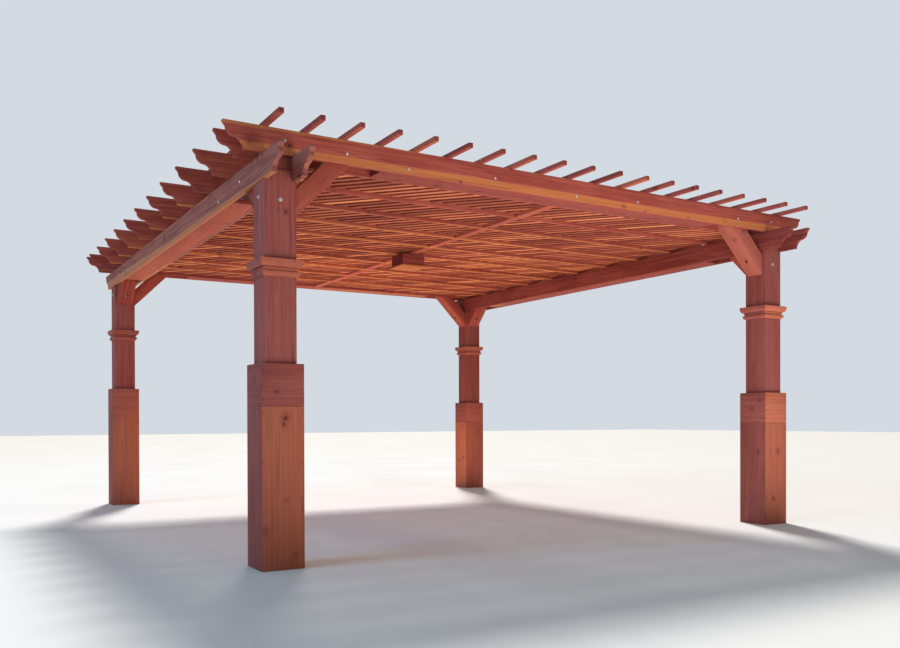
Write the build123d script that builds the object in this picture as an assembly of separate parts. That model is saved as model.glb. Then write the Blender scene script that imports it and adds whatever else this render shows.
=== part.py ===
from build123d import *
import math
import os

# Free-standing timber pergola.
# X runs along the rafters, Y along the beams and Z up. The origin is on the ground, under the middle.
# All sizes are in millimetres.

# Layout
POST_SPACING_X = 5240
POST_SPACING_Y = 5716
BEAM_UNDERSIDE = 2783
RAFTER_LENGTH = 6076
PURLIN_LENGTH = 6602
BEAM_OVERHANG = 461

# Timber sections
POST_WIDTH = 240
TENON_WIDTH = 184
BEAM_THICKNESS = 38
BEAM_HEIGHT = 184
RAFTER_THICKNESS = 38
RAFTER_HEIGHT = 184
PURLIN_SIZE = 38
BRACE_DEPTH = 140
BLOCKING_WIDTH = 89
BLOCKING_HEIGHT = 140

# Repeats
FIELD_BAYS = 10
PURLIN_COUNT = 19
PURLIN_PITCH = 303

# Post tops and trim
FRONT_SHOULDER_RISE = 78
POST_TOP_GAP = 4
BASE_BOARD = 40
BASE_TOP_LEFT = 1474
BASE_TOP_RIGHT = 1337
BASE_UPPER_HEIGHT = 306
BASE_EDGE = 5
COLLAR_DROP = 688
COLLAR_BAND_OFFSET = 24
COLLAR_BAND_HEIGHT = 42
COLLAR_COVE_OFFSET = 13
COLLAR_COVE_HEIGHT = 8
COLLAR_CROWN_OFFSET = 46
COLLAR_CROWN_HEIGHT = 58
COLLAR_LIP_HEIGHT = 17

# Knee braces, measured from the post face and from the rafters' underside
BRACE_LEG = 430
BRACE_HEAD_RISE = 120

# Block at the middle of the ceiling
CENTRE_BLOCK_SIZE = 280
CENTRE_BLOCK_HEIGHT = 145
CENTRE_PLATE_SIZE = 340
CENTRE_PLATE_THICKNESS = 20

# Lattice ceiling
LATTICE_RISE = 31
STRIP_WIDTH = 45
STRIP_THICKNESS = 15
STRIP_PITCH_X = 135
STRIP_PITCH_Y = 150

# Boards that close the paired end rafters and the paired beams from below
INFILL_INSET = 810
BEAM_INFILL_INSET = 690

BEAM_TOP = BEAM_UNDERSIDE + BEAM_HEIGHT
RAFTER_TOP = BEAM_TOP + RAFTER_HEIGHT
COLLAR_BOTTOM = BEAM_UNDERSIDE - COLLAR_DROP
POST_X = POST_SPACING_X / 2
POST_Y = POST_SPACING_Y / 2
PAIR_OFFSET = TENON_WIDTH / 2
FIELD_START = -POST_Y + PAIR_OFFSET + RAFTER_THICKNESS / 2
FIELD_PITCH = -2 * FIELD_START / FIELD_BAYS

SIDES_X = {"left": -1, "right": 1}
SIDES_Y = {"front": -1, "rear": 1}


def block(x0, x1, y0, y1, z0, z1):
    """A box between two corners."""
    return Pos(x0, y0, z0) * Box(x1 - x0, y1 - y0, z1 - z0, align=Align.MIN)


def ogee_board(length, height, thickness):
    """A board on edge, centred on the origin and standing on it, both ends cut to an ogee."""
    half = length / 2

    def end(points):
        return [(half - x * height, height - z * height) for x, z in points]

    nib, step, flat, foot = end([(0, 0.08), (0.13, 0.23), (0.50, 0.57), (0.80, 1.0)])
    bulge, hollow = end([(0.22, 0.45), (0.69, 0.71)])
    with BuildPart() as board:
        with BuildSketch(Plane.XZ):
            with BuildLine():
                Polyline((0, height), (half, height), nib, step)
                ThreePointArc(step, bulge, flat)
                ThreePointArc(flat, hollow, foot)
                Polyline(foot, (0, 0), (0, height))
            make_face()
            mirror(about=Plane.YZ)
        extrude(amount=thickness / 2, both=True)
    return board.part


def post():
    """Square post: notched on two sides for the beams and, higher up, in front and behind for the rafters."""
    half, tenon = POST_WIDTH / 2, TENON_WIDTH / 2
    shoulder = BEAM_UNDERSIDE + FRONT_SHOULDER_RISE
    shape = block(-half, half, -half, half, 0, BEAM_UNDERSIDE)
    shape += block(-tenon, tenon, -half, half, BEAM_UNDERSIDE, shoulder)
    shape += block(-tenon, tenon, -tenon, tenon, shoulder, RAFTER_TOP - POST_TOP_GAP)
    return shape


def base_ring(z0, z1, soften):
    """A boxed base trim round the post, with its top or bottom outer edges softened."""
    outer, inner = POST_WIDTH / 2 + BASE_BOARD, POST_WIDTH / 2
    shape = block(-outer, outer, -outer, outer, z0, z1)
    rim = shape.faces().sort_by(Axis.Z)[soften].edges()
    shape = chamfer(rim, BASE_EDGE)
    return shape - block(-inner, inner, -inner, inner, z0, z1)


def collar():
    """The moulding round the post: a flat band, a small cove and a crown that widens to a lip."""
    face = POST_WIDTH / 2
    band, cove, crown = (face + x for x in (COLLAR_BAND_OFFSET, COLLAR_COVE_OFFSET, COLLAR_CROWN_OFFSET))
    band_top = COLLAR_BOTTOM + COLLAR_BAND_HEIGHT
    crown_low = band_top + COLLAR_COVE_HEIGHT
    lip_low = crown_low + COLLAR_CROWN_HEIGHT
    top = lip_low + COLLAR_LIP_HEIGHT
    shape = block(-band, band, -band, band, COLLAR_BOTTOM, band_top)
    shape += block(-cove, cove, -cove, cove, band_top, crown_low)
    flare = block(-crown, crown, -crown, crown, crown_low, top)
    underside = flare.faces().sort_by(Axis.Z)[0]
    shape += chamfer(underside.edges(), crown - band, COLLAR_CROWN_HEIGHT, reference=underside)
    return shape - block(-face, face, -face, face, COLLAR_BOTTOM, top)


def knee_brace(top):
    """A 45 degree brace in the XZ plane that springs from the post's +X face, with its head cut level at top."""
    face = POST_WIDTH / 2
    contact = BRACE_DEPTH * math.sqrt(2)
    low = BEAM_TOP - BRACE_LEG
    outline = [
        (face, low),
        (face + top - low, top),
        (face + top - low - contact, top),
        (face, low + contact),
    ]
    with BuildPart() as brace:
        with BuildSketch(Plane.XZ):
            with BuildLine():
                Polyline(*outline, close=True)
            make_face()
        extrude(amount=TENON_WIDTH / 2, both=True)
    return brace.part


def strip(x, y0, y1, slope):
    """Plan outline of one diagonal strip whose foot starts at x on y0 and runs to y1."""
    foot = STRIP_WIDTH * math.hypot(STRIP_PITCH_X, STRIP_PITCH_Y) / STRIP_PITCH_Y
    run = slope * (y1 - y0)
    return [(x, y0), (x + foot, y0), (x + foot + run, y1), (x + run, y1)]


def clip(points, limit, keep):
    """The part of an outline on one side of x = limit; keep is 1 for above it and -1 for below."""
    out = []
    for (x0, y0), (x1, y1) in zip(points, points[1:] + points[:1]):
        inside0, inside1 = keep * (x0 - limit) >= 0, keep * (x1 - limit) >= 0
        if inside0:
            out.append((x0, y0))
        if inside0 != inside1:
            t = (limit - x0) / (x1 - x0)
            out.append((limit, y0 + t * (y1 - y0)))
    return out


def area(points):
    """Area of a plan outline."""
    pairs = zip(points, points[1:] + points[:1])
    return abs(sum(x0 * y1 - x1 * y0 for (x0, y0), (x1, y1) in pairs)) / 2


def lattice_panel(x0, x1, y0, y1, z, slope):
    """One layer of diagonal strips that fills a rectangle between rafters. slope is X gained per unit of Y."""
    run = slope * (y1 - y0)
    count = math.ceil((x1 - x0 + abs(run)) / STRIP_PITCH_X)
    first = x0 - max(run, 0)
    solids = []
    for i in range(count + 1):
        outline = strip(first + i * STRIP_PITCH_X, y0, y1, slope)
        outline = clip(clip(outline, x0, 1), x1, -1)
        if len(outline) >= 3 and area(outline) > 2 * STRIP_WIDTH**2:
            face = Face(Wire.make_polygon([(x, y, z) for x, y in outline], close=True))
            solids.append(Solid.extrude(face, Vector(0, 0, STRIP_THICKNESS)))
    return solids


def lattice(bays, z, slope):
    """One layer of the lattice over some of the bays, left and right of the centre blocking."""
    reach = POST_X - PAIR_OFFSET
    solids = []
    for bay in bays:
        y0 = FIELD_START + bay * FIELD_PITCH + RAFTER_THICKNESS / 2
        y1 = y0 + FIELD_PITCH - RAFTER_THICKNESS
        for x0, x1 in ((-reach, -BLOCKING_WIDTH / 2), (BLOCKING_WIDTH / 2, reach)):
            solids += lattice_panel(x0, x1, y0, y1, z, slope)
    return Compound(children=solids)


def export(name, shape):
    export_step(shape, f"parts/{name}.step")


def main():
    os.makedirs("parts", exist_ok=True)
    base_tops = {"left": BASE_TOP_LEFT, "right": BASE_TOP_RIGHT}
    pair = PAIR_OFFSET + BEAM_THICKNESS / 2
    brace_x = knee_brace(BEAM_TOP + BRACE_HEAD_RISE)
    brace_y = knee_brace(BEAM_TOP)

    for end, sy in SIDES_Y.items():
        for side, sx in SIDES_X.items():
            place = Pos(sx * POST_X, sy * POST_Y, 0)
            name = f"{end}_{side}"
            joint = base_tops[side] - BASE_UPPER_HEIGHT
            export(f"post_{name}", place * post())
            export(f"base_lower_{name}", place * base_ring(0, joint, -1))
            export(f"base_upper_{name}", place * base_ring(joint, base_tops[side], -1))
            export(f"collar_{name}", place * collar())
            turn = 0 if sx < 0 else 180
            export(f"brace_x_{name}", place * Rot(0, 0, turn) * brace_x)
            export(f"brace_y_{name}", place * Rot(0, 0, -sy * 90) * brace_y)

    beam = Rot(0, 0, 90) * ogee_board(POST_SPACING_Y + 2 * BEAM_OVERHANG, BEAM_HEIGHT, BEAM_THICKNESS)
    for side, sx in SIDES_X.items():
        both = [Pos(sx * POST_X + layer * pair, 0, BEAM_UNDERSIDE) * beam for layer in (-1, 1)]
        export(f"beams_{side}", Compound(children=both))

    rafter = Pos(0, 0, BEAM_TOP) * ogee_board(RAFTER_LENGTH, RAFTER_HEIGHT, RAFTER_THICKNESS)
    offset = PAIR_OFFSET + RAFTER_THICKNESS / 2
    for end, sy in SIDES_Y.items():
        both = [Pos(0, sy * POST_Y + layer * offset, 0) * rafter for layer in (-1, 1)]
        export(f"rafters_{end}", Compound(children=both))
    field = [Pos(0, FIELD_START + i * FIELD_PITCH, 0) * rafter for i in range(1, FIELD_BAYS)]
    export("rafters_field", Compound(children=field))

    half = PURLIN_SIZE / 2
    purlins = []
    for i in range(PURLIN_COUNT):
        x = (i - (PURLIN_COUNT - 1) / 2) * PURLIN_PITCH
        ends = PURLIN_LENGTH / 2
        purlins.append(block(x - half, x + half, -ends, ends, RAFTER_TOP, RAFTER_TOP + PURLIN_SIZE))
    export("purlins", Compound(children=purlins))

    blocking = []
    for bay in range(FIELD_BAYS):
        y0 = FIELD_START + bay * FIELD_PITCH + RAFTER_THICKNESS / 2
        y1 = y0 + FIELD_PITCH - RAFTER_THICKNESS
        w = BLOCKING_WIDTH / 2
        blocking.append(block(-w, w, y0, y1, BEAM_TOP, BEAM_TOP + BLOCKING_HEIGHT))
    export("centre_blocking", Compound(children=blocking))
    c, p = CENTRE_BLOCK_SIZE / 2, CENTRE_PLATE_SIZE / 2
    low = BEAM_TOP - CENTRE_BLOCK_HEIGHT
    centre = block(-c, c, -c, c, low + CENTRE_PLATE_THICKNESS, BEAM_TOP)
    centre += block(-p, p, -p, p, low, low + CENTRE_PLATE_THICKNESS)
    export("centre_block", centre)

    infill_x = POST_X - INFILL_INSET
    for end, sy in SIDES_Y.items():
        y = sy * POST_Y
        infill = block(-infill_x, infill_x, y - PAIR_OFFSET, y + PAIR_OFFSET, BEAM_TOP, BEAM_TOP + RAFTER_THICKNESS)
        export(f"infill_{end}", infill)
    infill_y = POST_Y - BEAM_INFILL_INSET
    boards = []
    for sx in SIDES_X.values():
        x = sx * POST_X
        board = (x - PAIR_OFFSET, x + PAIR_OFFSET, -infill_y, infill_y)
        boards.append(block(*board, BEAM_UNDERSIDE, BEAM_UNDERSIDE + BEAM_THICKNESS))
    export("infill_beams", Compound(children=boards))

    lower = BEAM_TOP + LATTICE_RISE
    slope = STRIP_PITCH_X / STRIP_PITCH_Y
    for number, bay in enumerate(range(0, FIELD_BAYS, 2), 1):
        bays = range(bay, min(bay + 2, FIELD_BAYS))
        export(f"lattice_lower_{number}", lattice(bays, lower, -slope))
        export(f"lattice_upper_{number}", lattice(bays, lower + STRIP_THICKNESS, slope))


main()
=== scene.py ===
import math
import random

import bmesh
import bpy
from mathutils import Matrix, Vector


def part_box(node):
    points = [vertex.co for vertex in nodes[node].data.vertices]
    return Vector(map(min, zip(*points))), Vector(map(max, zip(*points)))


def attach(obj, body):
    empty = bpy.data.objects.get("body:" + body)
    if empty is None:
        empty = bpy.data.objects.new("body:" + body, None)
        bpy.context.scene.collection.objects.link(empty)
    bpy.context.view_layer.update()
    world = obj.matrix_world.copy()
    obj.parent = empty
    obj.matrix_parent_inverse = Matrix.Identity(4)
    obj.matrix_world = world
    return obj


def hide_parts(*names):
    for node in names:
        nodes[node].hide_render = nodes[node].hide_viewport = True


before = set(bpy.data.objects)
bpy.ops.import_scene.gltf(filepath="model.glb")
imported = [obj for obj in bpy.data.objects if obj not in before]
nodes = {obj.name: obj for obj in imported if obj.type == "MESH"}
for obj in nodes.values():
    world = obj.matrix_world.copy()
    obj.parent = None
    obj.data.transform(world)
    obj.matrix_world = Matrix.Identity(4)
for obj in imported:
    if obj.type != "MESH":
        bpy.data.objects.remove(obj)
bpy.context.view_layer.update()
MM = 0.001
rng = random.Random(7)

# The camera, solved from the straight edges of the photograph, which is 900 by 648 pixels
YAW, PITCH, ROLL = (math.radians(a) for a in (30.802, -0.333, -0.144))
EYE = Vector((-4.8042, -8.9993, 1.070))
IMAGE_WIDTH, IMAGE_HEIGHT = 900, 648
FOCAL_PX, CENTRE_ROW = 879.1, 424.8

# Bolts go through a post at these heights, and the nut of each sits in a bore in a brace. Lengths in metres
BOLT_X_HEIGHT, BOLT_Y_HEIGHT = 2.675, 2.646
BORE_RADIUS, BORE_SEAT, BORE_LENGTH = 0.018, 0.070, 0.3

# Bolts through the rafters, by X and Z, and through the beams, by Y and Z, in metres
RAFTER_BOLTS = ((-2.588, 3.07), (-2.103, 3.05), (-1.582, 3.009), (-0.78, 3.05), (0.07, 3.012), (0.78, 3.05),
                (2.103, 3.05), (2.588, 3.07))
BEAM_BOLTS = ((2.442, 2.881), (1.881, 2.845))

# Discs that a fastener is stacked from: radius, thickness, sides and radius of the top, in metres
WASHER = (0.016, 0.0025, 16, 0.015)
HEX_HEAD = (0.0105, 0.007, 6, 0.0098)
BOLT_END = (0.005, 0.010, 10, 0.0045)
LAG_HEAD = (0.010, 0.003, 12, 0.007)
NAIL = (0.0045, 0.0012, 8, 0.0035)

# Nails in each face of the base trim: distance from the face's middle, and heights up from the board's foot
# and down from its top, in metres
BASE_NAIL_ALONG = 0.145
UPPER_BASE_NAILS_UP, UPPER_BASE_NAILS_DOWN = 0.045, 0.045
LOWER_BASE_NAILS_DOWN = (0.05, 0.4, 0.75)

# The same on a collar, whose lip has one row and whose band has the other
LIP_NAIL_ALONG, LIP_NAIL_DOWN = 0.088, 0.012
BAND_NAIL_ALONG, BAND_NAIL_UP = 0.075, 0.032

# The collar's outline, in millimetres out from the post's face and up from the collar's foot
BAND_OUT = 22
COLLAR_FOOT = ((7, 0), (BAND_OUT, 18), (BAND_OUT, 38), (8, 41))
COLLAR_COVE = ((8, 44), (18, 62))
COLLAR_CROWN = ((9, 63), (9, 69), (27, 68), (34, 77), (39, 90), (43, 101))
COLLAR_OUT = 43
COVE_STEPS = 8

# How far the arrises are rounded, in millimetres
POST_ARRIS, BASE_ARRIS, COLLAR_ARRIS, FRAME_ARRIS, LATTICE_ARRIS = 3.5, 3.0, 1.2, 4.0, 1.5

# Width of the sapwood along a board's edges, in metres: lower edge at its start and end, then upper edge at
# its start and end. A width below zero leaves the edge heartwood. A node's boards come in order along X and
# then Y, and its last entry serves for the rest. A framing board without an entry gets a random trace.
HEARTWOOD = ((-1, -1, -1, -1),)
PLAIN_EDGES = ((-0.02, -0.02, -0.02, -0.02),)
SAPWOOD_TRACE = (-0.012, 0.010)
SAPWOOD = {"rafters_front": ((0.056, 0.070, 0.022, -0.004), (-0.02, -0.02, 0.004, 0.004)),
           "rafters_field": ((-0.02, -0.02, 0.0, 0.0), (0.003, 0.003, 0.0, 0.0), (0.014, 0.01, 0.0, 0.0)),
           "beams_left": ((0.006, 0.095, 0.006, 0.006), (-0.02, 0.012, 0.0, 0.0)),
           "beams_right": PLAIN_EDGES, "purlins": PLAIN_EDGES, "infill_front": PLAIN_EDGES,
           "infill_beams": ((-0.02, 0.0, -0.02, -0.02),),
           "centre_block": ((0.03, 0.03, -0.02, -0.02),),
           "brace_x_front_right": HEARTWOOD}

# How pale a board is, from 0 to 1, in the same order, with painted light and shade in a few. The boards round
# a post come left, front, rear, right.
TONES = {"base_upper_front_left": (0.35, 0.35, 0.5, 0.3), "base_lower_front_left": (0.35, 0.9, 0.4, 0.6),
         "base_upper_front_right": (0.5, 0.9, 0.4, 0.5), "base_lower_front_right": (0.55, 0.9, 0.6, 0.4),
         "base_upper_rear_left": (0.6, 0.7, 0.4, 0.5), "base_lower_rear_left": (0.5, 0.9, 0.6, 0.4),
         "collar_front_left": (0.5, 0.85, 0.6, 0.7), "collar_front_right": (0.6, 0.9, 0.5, 0.7),
         # The right beams' low tones are painted shade, for the shade under the roof on their inner faces
         "beams_right": (0.0, 0.1), "beams_left": (0.6, 0.8), "infill_beams": (0.9, 0.5),
         "centre_block": (0.3,), "centre_blocking": (1.0, 0.8), "rafters_front": (0.65, 0.5),
         # The field rafters' high tones are partly painted light, for the sky light on their front faces
         "rafters_field": (0.7, 0.55, 0.85, 0.65, 0.8, 0.6, 0.9, 0.7, 0.75),
         "brace_x_front_left": (0.85,), "brace_x_front_right": (0.7,),
         "purlins": (0.5, 0.6, 0.8, 0.8, 1.0, 0.35, 0.8, 0.9, 0.7, 0.65, 0.3, 1.1, 0.8, 0.5, 0.3, 0.9, 0.6,
                     0.5, 0.7)}

# Knots that stand out in the photograph, in metres. The other boards have theirs far off, out of sight.
KNOTS = {"post_front_left": (-2.579, -2.978, 2.562), "base_upper_front_left": (-2.667, -3.018, 1.270),
         "base_lower_front_left": (-2.613, -3.018, 1.040), "base_lower_front_right": (2.460, -2.933, 0.734),
         "brace_x_front_right": (2.095, -2.950, 2.821)}
FAR_OFF = Vector((9, 9, 9))

# How far knots lie apart along a tree and across it, in metres. Their cores are 10 to 30 mm across.
KNOT_SPACING = (0.40, 0.15, 0.13)
MAIN_KNOT_RADIUS = 0.010

CRACK_COLOUR, KNOT_COLOUR = "#4A1D1A", "#431C18"

# What each board carries for its material, in vertex layers named board_place and so on
BOARD_LAYERS = ("place", "local", "traits", "axis", "knot")


# Colour and shader nodes

def linear(hex_colour):
    """An sRGB hex value as the linear colour that a shader socket takes."""
    parts = [int(hex_colour[i : i + 2], 16) / 255 for i in (1, 3, 5)]
    return [c / 12.92 if c <= 0.04045 else ((c + 0.055) / 1.055) ** 2.4 for c in parts] + [1.0]


def add(tree, kind, inputs=(), out=0, **settings):
    """Adds a shader node and returns one of its outputs. Inputs, by name or number, get a link or a value."""
    made = tree.nodes.new("ShaderNode" + kind)
    for name, value in settings.items():
        setattr(made, name, value)
    for key, value in dict(inputs).items():
        if isinstance(value, bpy.types.NodeSocket):
            tree.links.new(value, made.inputs[key])
        else:
            made.inputs[key].default_value = value
    return made.outputs[out] if made.outputs else None


def new_material(name):
    """A material with an empty node tree."""
    material = bpy.data.materials.new(name)
    material.use_nodes = True
    material.node_tree.nodes.clear()
    return material, material.node_tree


# Stained timber, part by part

def knot_marks(tree, place, local, main_knot):
    """How much a point lies in a knot's dark core, and in the halo round it that pushes the rings aside."""
    squeezed = add(tree, "Mapping", {"Vector": place, "Scale": [1 / c for c in KNOT_SPACING]})
    branch = add(tree, "TexVoronoi", {"Vector": squeezed, "Scale": 1.0}, out="Position")
    centre = add(tree, "Mapping", {"Vector": branch, "Scale": KNOT_SPACING})
    wobble = add(tree, "TexNoise", {"Vector": place, "Scale": 45.0, "Detail": 2.0})
    away = add(tree, "VectorMath", {0: place, 1: centre}, out="Value", operation="DISTANCE")
    size = add(tree, "SeparateXYZ", {0: branch.node.outputs["Color"]})
    radius = add(tree, "Math", {0: size, 1: 0.012, 2: 0.005}, operation="MULTIPLY_ADD")
    small = add(tree, "Math", {0: away, 1: radius}, operation="DIVIDE")
    to_main = add(tree, "VectorMath", {0: local, 1: main_knot}, operation="SUBTRACT")
    to_main = add(tree, "VectorMath", {0: to_main, 1: (0.8, 1.0, 1.0)}, operation="MULTIPLY")
    to_main = add(tree, "VectorMath", {0: to_main}, out="Value", operation="LENGTH")
    large = add(tree, "Math", {0: to_main, 1: MAIN_KNOT_RADIUS}, operation="DIVIDE")
    nearest = add(tree, "Math", {0: small, 1: large}, operation="MINIMUM")
    nearest = add(tree, "Math", {0: wobble, 1: 1.6, 2: nearest}, operation="MULTIPLY_ADD")
    core = add(tree, "MapRange", {0: nearest, 1: 2.1, 2: 1.3, 4: 0.7}, interpolation_type="SMOOTHSTEP")
    halo = add(tree, "MapRange", {0: nearest, 1: 4.8, 2: 1.7}, interpolation_type="SMOOTHSTEP")
    return core, halo


def growth_rings(tree, place, knot_halo, ring_mm, wander):
    """Late growth: dark at the end of each year's step outwards from a wandering pith.

    Real rings are 2 to 5 mm apart. They are drawn 8 mm apart or more, so that they show, and wider still on
    posts and trim, whose faces cut the rings at a flat angle.
    """
    drift = add(tree, "Mapping", {"Vector": place, "Scale": (1.1, 4.0, 4.0)})
    sway = add(tree, "TexNoise", {"Vector": drift, "Scale": 1.0, "Detail": 3.0, "Roughness": 0.45},
               out="Color")
    shift = add(tree, "VectorMath", {0: sway, 1: (wander, wander, wander), 2: place},
                operation="MULTIPLY_ADD")
    across = add(tree, "VectorMath", {0: shift, 1: (0.0, 1.0, 1.0)}, operation="MULTIPLY")
    reach = add(tree, "VectorMath", {0: across}, out="Value", operation="LENGTH")
    reach = add(tree, "Math", {0: knot_halo, 1: 0.014, 2: reach}, operation="MULTIPLY_ADD")
    year = add(tree, "Math", {0: reach, 1: ring_mm * MM}, operation="DIVIDE")
    year = add(tree, "Math", {0: year}, operation="FRACT")
    late_growth = add(tree, "Math", {0: year, 1: 2.2}, operation="POWER")
    ring_end = add(tree, "MapRange", {0: year, 1: 1.0, 2: 0.9}, interpolation_type="SMOOTHSTEP")
    return add(tree, "Math", {0: late_growth, 1: ring_end}, operation="MULTIPLY")


def sapwood_band(tree, local, edge_wander, sap_low, sap_high):
    """The paler golden band along a board's lower or upper edge, with a wandering boundary."""
    height = add(tree, "SeparateXYZ", {0: local}, out=2)
    height = add(tree, "Math", {0: edge_wander, 1: 0.05, 2: height}, operation="MULTIPLY_ADD")
    height = add(tree, "Math", {0: height, 1: 0.025}, operation="SUBTRACT")
    below = add(tree, "Math", {0: sap_low, 1: height}, operation="SUBTRACT")
    above = add(tree, "Math", {0: height, 1: sap_high}, operation="SUBTRACT")
    inside = add(tree, "Math", {0: below, 1: above}, operation="MAXIMUM")
    return add(tree, "MapRange", {0: inside, 1: -0.003, 2: 0.006, 4: 0.9}, interpolation_type="SMOOTHSTEP")


# Planed softwood under a red-brown translucent oil stain. Growth rings, knots and paler sapwood edges show
# through it, long drying checks are dark, end grain drinks more stain, and the surface is half matt.

def stained_timber(name, early, late, red, sap, ring_mm=11.0, ring_depth=0.7, wander=0.11, stripes=0.0,
                   tone_range=0.34, golden=0.0, check=0.3, side_shade=0.0, level_sap=1.0):
    """Reads each board's own place, traits and long axis, so no two boards match."""
    material, tree = new_material(name)
    place, local, traits, axis, main_knot = (
        add(tree, "Attribute", out="Vector", attribute_name="board_" + word) for word in BOARD_LAYERS)
    tone, sap_low, sap_high = add(tree, "SeparateXYZ", {0: traits}).node.outputs
    knot_core, knot_halo = knot_marks(tree, place, local, main_knot)
    ring = growth_rings(tree, place, knot_halo, ring_mm, wander)

    # Fibres a few millimetres wide and a hand's length long, broader streaks, blotches of stain and drying
    # checks. Real fibres are finer than a millimetre and are drawn coarser so that they show.
    noises = []
    for scale, detail in (((5.0, 170.0, 170.0), 3.0), ((1.0, 42.0, 42.0), 4.0), ((1.6, 5.0, 5.0), 2.0),
                          ((2.0, 60.0, 60.0), 1.0), ((0.45, 3.0, 3.0), 3.0)):
        stretched = add(tree, "Mapping", {"Vector": place, "Scale": scale})
        noises.append(add(tree, "TexNoise", {"Vector": stretched, "Scale": 1.0, "Detail": detail}))
    fibre, streak, blotch, split, edge_wander = noises

    # Heartwood: early and late growth, blotches of redder stain and thin pale stripes
    shade = add(tree, "MapRange", {0: fibre, 1: 0.38, 2: 0.66, 4: 0.34}, interpolation_type="SMOOTHSTEP")
    shade = add(tree, "Math", {0: ring, 1: ring_depth, 2: shade}, operation="MULTIPLY_ADD")
    colour = add(tree, "Mix", {0: shade, 6: linear(early), 7: linear(late)}, out=2, data_type="RGBA")
    stain = add(tree, "MapRange", {0: blotch, 1: 0.42, 2: 0.64, 4: 0.65}, interpolation_type="SMOOTHSTEP")
    colour = add(tree, "Mix", {0: stain, 6: colour, 7: linear(red)}, out=2, data_type="RGBA")
    stripe = add(tree, "MapRange", {0: streak, 1: 0.44, 2: 0.62, 4: stripes}, interpolation_type="SMOOTHSTEP")
    colour = add(tree, "Mix", {0: stripe, 6: colour, 7: linear(sap)}, out=2, data_type="RGBA")

    # Sapwood, less of it on level faces where level_sap is low, and a golden cast over the palest boards
    sapwood = sapwood_band(tree, local, edge_wander, sap_low, sap_high)
    normal = add(tree, "NewGeometry", out="Normal")
    level = add(tree, "Math", {0: add(tree, "SeparateXYZ", {0: normal}, out=2)}, operation="ABSOLUTE")
    wrap = add(tree, "MapRange", {0: level, 1: 0.85, 2: 0.97, 3: 1.0, 4: level_sap})
    sapwood = add(tree, "Math", {0: sapwood, 1: wrap}, operation="MULTIPLY")
    warm = add(tree, "Math", {0: tone, 1: 3.0}, operation="POWER")
    sapwood = add(tree, "Math", {0: warm, 1: golden, 2: sapwood}, operation="MULTIPLY_ADD", use_clamp=True)
    pale = add(tree, "Math", {0: shade, 1: 0.45}, operation="MULTIPLY")
    pale = add(tree, "Mix", {0: pale, 6: linear(sap), 7: linear(early)}, out=2, data_type="RGBA")
    colour = add(tree, "Mix", {0: sapwood, 6: colour, 7: pale}, out=2, data_type="RGBA")

    # The board's own tone, then checks and knots
    dull = add(tree, "MapRange", {0: streak, 1: 0.35, 2: 0.68, 3: 0.93, 4: 1.10},
               interpolation_type="SMOOTHSTEP")
    dull = add(tree, "Math", {0: tone, 1: tone_range, 2: dull}, operation="MULTIPLY_ADD")
    dull = add(tree, "Math", {0: dull, 1: tone_range * 0.5}, operation="SUBTRACT")
    colour = add(tree, "VectorMath", {0: colour, "Scale": dull}, operation="SCALE")
    cracks = add(tree, "MapRange", {0: split, 1: 0.65, 2: 0.70, 4: check}, interpolation_type="SMOOTHSTEP")
    colour = add(tree, "Mix", {0: cracks, 6: colour, 7: linear(CRACK_COLOUR)}, out=2, data_type="RGBA")
    halo = add(tree, "Math", {0: knot_halo, 1: 0.4}, operation="MULTIPLY")
    colour = add(tree, "Mix", {0: halo, 6: colour, 7: linear(late)}, out=2, data_type="RGBA")
    colour = add(tree, "Mix", {0: knot_core, 6: colour, 7: linear(KNOT_COLOUR)}, out=2, data_type="RGBA")

    # End grain, which drinks more stain, and painted shade on the side faces of thin strips, which stands in
    # for the shade between the strips
    facing = add(tree, "VectorMath", {0: normal, 1: axis}, out="Value", operation="DOT_PRODUCT")
    facing = add(tree, "Math", {0: facing}, operation="ABSOLUTE")
    end = add(tree, "MapRange", {0: facing, 1: 0.75, 2: 0.95, 4: 0.6}, interpolation_type="SMOOTHSTEP")
    # Painted shade: faces that stand upright are darkened towards the late colour by side_shade
    edge = add(tree, "MapRange", {0: level, 1: 0.6, 2: 0.2, 4: side_shade})
    end = add(tree, "Math", {0: end, 1: edge}, operation="MAXIMUM")
    colour = add(tree, "Mix", {0: end, 6: colour, 7: linear(late)}, out=2, data_type="RGBA")

    gloss = add(tree, "MapRange", {0: streak, 1: 0.3, 2: 0.7, 3: 0.64, 4: 0.85})
    relief = add(tree, "Math", {0: fibre, 1: -0.5, 2: ring}, operation="MULTIPLY_ADD")
    relief = add(tree, "Math", {0: cracks, 1: -1.2, 2: relief}, operation="MULTIPLY_ADD")
    relief = add(tree, "Math", {0: knot_core, 1: -0.7, 2: relief}, operation="MULTIPLY_ADD")
    bump = add(tree, "Bump", {"Height": relief, "Strength": 0.45, "Distance": 0.0012})
    shader = add(tree, "BsdfPrincipled", {"Base Color": colour, "Roughness": gloss, "Normal": bump,
                                          "IOR": 1.47, "Specular IOR Level": 0.1})
    add(tree, "OutputMaterial", {"Surface": shader})
    return material


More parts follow.
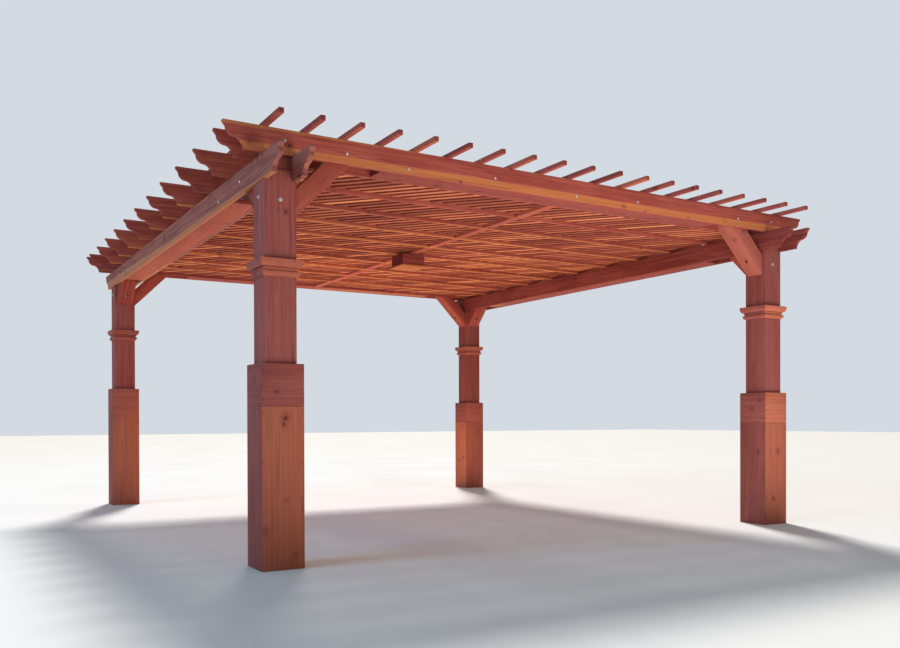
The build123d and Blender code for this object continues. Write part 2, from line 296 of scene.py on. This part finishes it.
# Hot-dip galvanised steel: dull grey zinc with crystals about 6 mm across and a few duller patches
def galvanised_steel():
    material, tree = new_material("galvanised_steel")
    place = add(tree, "TexCoord", out="Object")
    crystal = add(tree, "TexVoronoi", {"Vector": place, "Scale": 170.0}, out="Color")
    patch = add(tree, "TexNoise", {"Vector": place, "Scale": 30.0, "Detail": 3.0})
    factor = add(tree, "Math", {0: add(tree, "SeparateXYZ", {0: crystal}), 1: patch}, operation="MULTIPLY")
    colour = add(tree, "Mix", {0: factor, 6: linear("#B4B2B0"), 7: linear("#EDEDEB")},
                 out=2, data_type="RGBA")
    rough = add(tree, "MapRange", {0: patch, 1: 0.3, 2: 0.7, 3: 0.3, 4: 0.5})
    bump = add(tree, "Bump", {"Height": factor, "Strength": 0.3, "Distance": 0.0004})
    shader = add(tree, "BsdfPrincipled", {"Base Color": colour, "Roughness": rough, "Normal": bump,
                                          "Metallic": 0.6})
    add(tree, "OutputMaterial", {"Surface": shader})
    return material


# Bare steel nails set into the trim: brown with rust and stain, in specks of 2 to 3 mm
def stained_nails():
    material, tree = new_material("stained_steel_nails")
    place = add(tree, "TexCoord", out="Object")
    patch = add(tree, "TexNoise", {"Vector": place, "Scale": 400.0, "Detail": 2.0})
    colour = add(tree, "Mix", {0: patch, 6: linear("#2E1413"), 7: linear("#5A2A20")}, out=2, data_type="RGBA")
    bump = add(tree, "Bump", {"Height": patch, "Strength": 0.3, "Distance": 0.0003})
    shader = add(tree, "BsdfPrincipled", {"Base Color": colour, "Roughness": 0.6, "Normal": bump,
                                          "Metallic": 0.3})
    add(tree, "OutputMaterial", {"Surface": shader})
    return material


# Sawn framing timber with close rings. The front rafters are the same with no sapwood on their level faces,
# and the left beams, which face away from the key light, get a greyer copy of the stain: painted sheen, for
# the cool grey sheen on their outer faces.
framing = {"ring_mm": 8.0, "ring_depth": 0.5, "tone_range": 0.5, "golden": 0.25}
frame_stain = ("#9C4B43", "#602226", "#80332F", "#AB683B")
frame_wood = stained_timber("stained_softwood_frame", *frame_stain, stripes=0.12, **framing)
front_wood = stained_timber("stained_softwood_front_rafters", *frame_stain, stripes=0.12, level_sap=0.0,
                            **framing)
painted_sheen_beam_wood = stained_timber("stained_softwood_left_beams_painted_sheen", "#8E534C", "#5C3036", "#77423F", "#AA6B49",
                           stripes=0.25, **framing)

# Solid posts with wide faint rings and more drying checks, and the clearer, paler boards round them
post_wood = stained_timber("stained_softwood_posts", "#8F4F47", "#66343A", "#84403B", "#9F5645", ring_mm=17.0,
                           ring_depth=0.1, wander=0.05, stripes=0.12, tone_range=0.2, check=0.4)
trim_wood = stained_timber("stained_softwood_trim", "#97524A", "#6B3639", "#86433F", "#B06545", ring_mm=13.0,
                           ring_depth=0.12, wander=0.08, stripes=0.05, golden=0.8, check=0.25)

# Thin strips, which differ much in tone. Their side faces are darkened as painted shade, more on the lower
# layer, and the upper layer gets a paler copy of the stain as painted light, for the light it catches between
# the lower strips.
strips = {"ring_mm": 8.0, "stripes": 0.15, "tone_range": 0.8, "golden": 0.7}
lattice_wood = stained_timber("stained_softwood_lattice", "#B8624A", "#64251F", "#95473A", "#C98655",
                              side_shade=0.8, **strips)
painted_light_upper_wood = stained_timber("stained_softwood_upper_lattice_painted_light", "#CB7049", "#6E2C26", "#A75040", "#DC9A63",
                            side_shade=0.3, **strips)
steel = galvanised_steel()
nail_steel = stained_nails()

# The framing timbers that don't have the frame's own wood
OTHER_WOOD = {"rafters_front": front_wood, "beams_left": painted_sheen_beam_wood, "brace_x_front_right": trim_wood}


# Boards

def merged_copy(node):
    """A node's mesh as a clean bmesh: its loose triangles joined, and flat faces made whole."""
    shape = bmesh.new()
    shape.from_mesh(nodes[node].data)
    bmesh.ops.remove_doubles(shape, verts=shape.verts, dist=0.02 * MM)
    bmesh.ops.dissolve_limit(shape, angle_limit=math.radians(0.5), verts=shape.verts, edges=shape.edges)
    return shape


def solids(shape):
    """The separate boards in a bmesh, each as a list of its vertices."""
    left, found = set(shape.verts), []
    while left:
        todo, board = [left.pop()], []
        while todo:
            v = todo.pop()
            board.append(v)
            for e in v.link_edges:
                other = e.other_vert(v)
                if other in left:
                    left.discard(other)
                    todo.append(other)
        found.append(board)
    return found


def extent(points):
    """Lowest and highest corner of some vertices."""
    return (Vector([min(v.co[i] for v in points) for i in range(3)]),
            Vector([max(v.co[i] for v in points) for i in range(3)]))


def ease(shape, width, segments=2, sharp=28, shortest=12):
    """Rounds off the arrises, as planed timber has, and leaves short edges such as a bore's rim alone."""
    edges = [e for e in shape.edges if len(e.link_faces) == 2 and e.calc_face_angle(0) > math.radians(sharp)
             and e.calc_length() > shortest * MM]
    bmesh.ops.bevel(shape, geom=edges, offset=width * MM, offset_type="OFFSET", segments=segments,
                    profile=0.5, affect="EDGES", clamp_overlap=True, material=-1)


def new_piece(shape, name, material, replaced=()):
    """Turns a bmesh into a piece that rides on the frame."""
    for face in shape.faces:
        face.smooth = True
    for e in shape.edges:
        e.smooth = len(e.link_faces) == 2 and e.calc_face_angle(0) < math.radians(35)
    mesh = bpy.data.meshes.new(name)
    shape.to_mesh(mesh)
    shape.free()
    piece = bpy.data.objects.new(name, mesh)
    bpy.context.scene.collection.objects.link(piece)
    mesh.materials.append(material)
    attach(piece, "root")
    if replaced:
        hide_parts(*replaced)


def mark_boards(shape, node, grain, sapwood=None):
    """Gives each board its place in the tree it was cut from, its tone, sapwood, long axis and main knot."""
    sapwood, tones, knot = SAPWOOD.get(node, sapwood), TONES.get(node), KNOTS.get(node)
    layers = shape.verts.layers
    place, local, traits, axis, knots = (layers.float_vector.new("board_" + word) for word in BOARD_LAYERS)
    boards = sorted(solids(shape), key=lambda b: tuple(round(x, 3) for corner in extent(b) for x in corner))
    for number, board in enumerate(boards):
        low, high = extent(board)
        middle = (low + high) / 2
        along = Vector(grain(low, high) if callable(grain) else grain).normalized()
        side = along.cross(Vector((0, 1, 0) if abs(along.z) > 0.9 else (0, 0, 1))).normalized()
        turn = Matrix((along, side, side.cross(along)))
        length, half = (max((turn @ (v.co - middle))[i] for v in board) for i in (0, 2))
        start = Vector((rng.uniform(0, 400), rng.uniform(-0.13, 0.13),
                        rng.uniform(0.02, 0.14) * rng.choice((-1, 1))))
        tone = rng.random()
        if tones:
            tone = tones[min(number, len(tones) - 1)]
        edges = [rng.uniform(*SAPWOOD_TRACE) for i in range(4)]
        if sapwood:
            edges = sapwood[min(number, len(sapwood) - 1)]
        spot = turn @ (Vector(knot) - middle) if knot else FAR_OFF
        for v in board:
            v[local] = turn @ (v.co - middle)
            v[place] = v[local] + start
            t = 0.5 + v[local].x / length / 2
            v[traits] = (tone, edges[0] * (1 - t) + edges[1] * t - half,
                         half - edges[2] * (1 - t) - edges[3] * t)
            v[axis] = along
            v[knots] = spot


def long_side(low, high):
    """A board's grain runs along its longest side."""
    size = high - low
    return [1.0 if i == max(range(3), key=lambda k: size[k]) else 0.0 for i in range(3)]


def level_side(low, high):
    """The grain of a board that lies level round a post."""
    return (1, 0, 0) if high.x - low.x > high.y - low.y else (0, 1, 0)


# Trim boxes and collars: four mitred boards each, from one profile

def mitred_ring(shape, profile, centre):
    """Four boards round a square post, mitred at its corners. The profile's points are (distance, height)."""
    for quarter in range(4):
        turn = Matrix.Translation(centre) @ Matrix.Rotation(quarter * math.pi / 2, 4, "Z")
        near = [shape.verts.new((-out, -out, z)) for out, z in profile]
        # extrude_face_region would order its vertices differently in each run
        grown = bmesh.ops.extrude_discrete_faces(shape, faces=[shape.faces.new(near)])["faces"]
        far = list(grown[0].verts)
        for v in far:
            v.co.x = -v.co.x
        shape.faces.new(near)  # the extrusion takes the first face away
        bmesh.ops.transform(shape, matrix=turn, verts=near + far)
    bmesh.ops.recalc_face_normals(shape, faces=shape.faces)


def trim_profile(node):
    """A plain board: inner and outer distance and its two heights, from the node."""
    low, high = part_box(node)
    middle = (low + high) / 2
    inner = min(max(abs(v.co.x - middle.x), abs(v.co.y - middle.y)) for v in nodes[node].data.vertices)
    outer = (high.x - low.x) / 2
    outline = [(inner, low.z), (outer, low.z), (outer, high.z), (inner, high.z)]
    return outline, Vector((middle.x, middle.y, 0))


def collar_profile(node):
    """The moulding: a band with a sloping foot, a groove, a hollow cove and a crown that swells to a lip."""
    corners, centre = trim_profile(node)
    face, low, top = corners[0][0], corners[0][1], corners[2][1]
    outline = [(face, low)] + [(face + out * MM, low + up * MM) for out, up in COLLAR_FOOT]
    (start_out, start_up), (end_out, end_up) = COLLAR_COVE
    for i in range(COVE_STEPS + 1):
        t = i / COVE_STEPS
        outline.append((face + (start_out + (end_out - start_out) * t * t) * MM,
                        low + (start_up + (end_up - start_up) * t) * MM))
    outline += [(face + out * MM, low + up * MM) for out, up in COLLAR_CROWN]
    lip = face + COLLAR_OUT * MM
    return outline + [(lip, top), (face, top)], centre


def nail_rows(word, node, half):
    """Nail rows in a trim's faces: distance from the face's middle and from the post's axis, and height."""
    low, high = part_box(node)
    foot, top, out = low.z, high.z, (high.x - low.x) / 2
    if word == "collar":
        return ((LIP_NAIL_ALONG, half + COLLAR_OUT * MM, top - LIP_NAIL_DOWN),
                (BAND_NAIL_ALONG, half + BAND_OUT * MM, foot + BAND_NAIL_UP))
    if word == "base_upper":
        heights = (foot + UPPER_BASE_NAILS_UP, top - UPPER_BASE_NAILS_DOWN)
    else:
        heights = [top - down for down in LOWER_BASE_NAILS_DOWN]
    return [(BASE_NAIL_ALONG, out, z) for z in heights]


# Bores and fasteners

def upright(direction):
    """A turn that takes Z to a direction."""
    return Vector(direction).to_track_quat("Z", "Y").to_matrix().to_4x4()


def bored(shape, place, direction, radius, length):
    """The board with a round bore cut from a place along a direction."""
    tool_shape = bmesh.new()
    middle = Vector(place) + Vector(direction) * length / 2
    bmesh.ops.create_cone(tool_shape, cap_ends=True, segments=24, radius1=radius, radius2=radius,
                          depth=length, matrix=Matrix.Translation(middle) @ upright(direction))
    objects = []
    for name, source in (("whole_board", shape), ("bore_tool", tool_shape)):
        mesh = bpy.data.meshes.new(name)
        source.to_mesh(mesh)
        source.free()
        objects.append(bpy.data.objects.new(name, mesh))
        bpy.context.scene.collection.objects.link(objects[-1])
    whole, tool = objects
    cut = whole.modifiers.new("bore", "BOOLEAN")
    cut.operation, cut.object, cut.solver = "DIFFERENCE", tool, "EXACT"
    bpy.context.view_layer.update()
    result = bmesh.new()
    result.from_object(whole, bpy.context.evaluated_depsgraph_get())
    for made in objects:
        bpy.data.objects.remove(made)
    return result


def fastener(shape, place, direction, *discs):
    """A stack of discs that stands on a surface."""
    direction, at = Vector(direction), Vector(place)
    for radius, thickness, sides, top in discs:
        seat = Matrix.Translation(at + direction * thickness / 2) @ upright(direction)
        bmesh.ops.create_cone(shape, cap_ends=True, segments=sides, radius1=radius, radius2=top,
                              depth=thickness, matrix=seat)
        at = at + direction * thickness


# The posts' braces and trim

def bolted_brace(node, centre, out, half):
    """A brace, with a bolt through the post into its foot and the bolt's nut in a bore in its slope."""
    fastener(bolts, centre + out * half, out, WASHER, HEX_HEAD)
    seat = centre - out * (half + BORE_SEAT)
    fastener(bolts, seat, -out, WASHER, HEX_HEAD, BOLT_END)
    shape = bored(merged_copy(node), seat, -out, BORE_RADIUS, BORE_LENGTH)
    mark_boards(shape, node, Vector((0, 0, 1)) - out)
    ease(shape, FRAME_ARRIS)
    new_piece(shape, node + "_timber", OTHER_WOOD.get(node, frame_wood), [node])


def nailed_trim(word, name, half):
    """Mitred boards round a post, with nails near the corners of each face."""
    node = f"{word}_{name}"
    profile, centre = collar_profile(node) if word == "collar" else trim_profile(node)
    shape = bmesh.new()
    mitred_ring(shape, profile, centre)
    mark_boards(shape, node, (0, 0, 1) if word == "base_lower" else level_side, HEARTWOOD)
    if word == "collar":
        ease(shape, COLLAR_ARRIS, 1, sharp=40)
    else:
        ease(shape, BASE_ARRIS)
    new_piece(shape, node + "_boards", trim_wood, [node])
    for quarter in range(4):
        turn = Matrix.Rotation(quarter * math.pi / 2, 4, "Z")
        for along, away, z in nail_rows(word, node, half):
            for x in (-along, along):
                fastener(nails, centre + turn @ Vector((x, -away, z)), turn @ Vector((0, -1, 0)), NAIL)


bolts = bmesh.new()
nails = bmesh.new()
for end, sy in (("front", -1), ("rear", 1)):
    for side, sx in (("left", -1), ("right", 1)):
        name = f"{end}_{side}"
        low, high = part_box("post_" + name)
        middle, half = (low + high) / 2, (high.x - low.x) / 2
        for word, height, out in (("x", BOLT_X_HEIGHT, Vector((sx, 0, 0))),
                                  ("y", BOLT_Y_HEIGHT, Vector((0, sy, 0)))):
            bolted_brace(f"brace_{word}_{name}", Vector((middle.x, middle.y, height)), out, half)
        for word in ("collar", "base_upper", "base_lower"):
            nailed_trim(word, name, half)

for sy, row in ((-1, "rafters_front"), (1, "rafters_rear")):
    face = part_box(row)[0 if sy < 0 else 1].y
    for x, z in RAFTER_BOLTS:
        fastener(bolts, (x, face, z), (0, sy, 0), LAG_HEAD)
for sx, row in ((-1, "beams_left"), (1, "beams_right")):
    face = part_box(row)[0 if sx < 0 else 1].x
    for sy in (-1, 1):
        for y, z in BEAM_BOLTS:
            fastener(bolts, (face, sy * y, z), (sx, 0, 0), LAG_HEAD)

new_piece(bolts, "bolts_and_washers", steel)
new_piece(nails, "trim_nails", nail_steel)


# The other timbers keep the node's shape and get eased arrises

for node in sorted(nodes):
    if node.startswith(("base", "collar", "brace")):
        continue
    shape = merged_copy(node)
    if node.startswith("post"):
        mark_boards(shape, node, (0, 0, 1), HEARTWOOD)
        ease(shape, POST_ARRIS)
        new_piece(shape, node + "_timber", post_wood, [node])
    elif node.startswith("lattice"):
        mark_boards(shape, node, (0.9, -1 if "lower" in node else 1, 0), HEARTWOOD)
        ease(shape, LATTICE_ARRIS, 1)
        wood = lattice_wood if "lower" in node else painted_light_upper_wood
        new_piece(shape, node + "_timber", wood, [node])
    else:
        mark_boards(shape, node, long_side)
        ease(shape, FRAME_ARRIS)
        new_piece(shape, node + "_timber", OTHER_WOOD.get(node, frame_wood), [node])


# Floor, light and camera

# Pale matt studio floor, with faint unevenness in its sheen
floor_material, tree = new_material("matt_studio_floor")
place = add(tree, "TexCoord", out="Object")
uneven = add(tree, "TexNoise", {"Vector": place, "Scale": 0.6, "Detail": 3.0})
rough = add(tree, "MapRange", {0: uneven, 1: 0.3, 2: 0.7, 3: 0.8, 4: 0.95})
shader = add(tree, "BsdfPrincipled", {"Base Color": linear("#D0CCC6"), "Roughness": rough})
add(tree, "OutputMaterial", {"Surface": shader})
floor_shape = bmesh.new()
bmesh.ops.create_grid(floor_shape, x_segments=1, y_segments=1, size=60.0)
floor_mesh = bpy.data.meshes.new("floor")
floor_shape.to_mesh(floor_mesh)
floor_shape.free()
floor_mesh.materials.append(floor_material)
floor = bpy.data.objects.new("floor", floor_mesh)
bpy.context.scene.collection.objects.link(floor)


def place_light(data, name, direction, position=(0, 0, 0)):
    """Puts a light in the scene, shining in a direction."""
    light = bpy.data.objects.new(name, data)
    light.location = position
    light.rotation_euler = Vector(direction).to_track_quat("-Z", "Y").to_euler()
    bpy.context.scene.collection.objects.link(light)
    return light


def soft_light(name, position, target, size, power, colour):
    """A large square area light aimed at a point, out of the camera's sight."""
    data = bpy.data.lights.new(name, "AREA")
    data.shape = "SQUARE"
    data.size = size
    data.energy = power
    data.color = linear(colour)[:3]
    light = place_light(data, name, Vector(target) - Vector(position), position)
    light.visible_camera = False


# Cool light from the left, and light that the floor throws back onto the front and up to the ceiling
soft_light("left", (-30, -4, 15), (0, 0, 2), 14, 5600, "#77C4FF")
soft_light("near_floor", (0.5, -6.5, 0.05), (0.5, -6.5, 3), 5, 340, "#FFF6F6")
soft_light("bounce", (0.3, 0.9, 0.05), (0.3, 0.9, 3), 3.6, 112, "#FFCF9A")

# The key light is far off, so that the floor is evenly bright
key_data = bpy.data.lights.new("key", "SUN")
key_data.energy = 4.3
key_data.angle = math.radians(10)
place_light(key_data, "key", (-10, -22, -26))

# The world lights the part in a warm grey and looks pale blue-grey to the camera
world = bpy.data.worlds.new("studio")
world.use_nodes = True
tree = world.node_tree
tree.nodes.clear()
seen = add(tree, "LightPath")
backdrop = add(tree, "Mix", {0: seen, 6: linear("#A3A29E"), 7: linear("#D3DAE2")}, out=2, data_type="RGBA")
backdrop = add(tree, "Background", {"Color": backdrop})
add(tree, "OutputWorld", {"Surface": backdrop})
bpy.context.scene.world = world
bpy.context.scene.view_settings.view_transform = "Standard"

forward = Vector((math.sin(YAW) * math.cos(PITCH), math.cos(YAW) * math.cos(PITCH), math.sin(PITCH)))
right = Vector((math.cos(YAW), -math.sin(YAW), 0.0))
up = right.cross(forward)
right, up = right * math.cos(ROLL) + up * math.sin(ROLL), up * math.cos(ROLL) - right * math.sin(ROLL)
camera_data = bpy.data.cameras.new("camera")
camera_data.sensor_fit = "HORIZONTAL"
camera_data.sensor_width = 36.0
camera_data.lens = FOCAL_PX * camera_data.sensor_width / IMAGE_WIDTH
camera_data.shift_y = (CENTRE_ROW - IMAGE_HEIGHT / 2) / IMAGE_WIDTH
camera_data.clip_end = 200
camera = bpy.data.objects.new("camera", camera_data)
camera.matrix_world = Matrix.Translation(EYE) @ Matrix((right, up, -forward)).transposed().to_4x4()
bpy.context.scene.collection.objects.link(camera)
bpy.context.scene.camera = camera
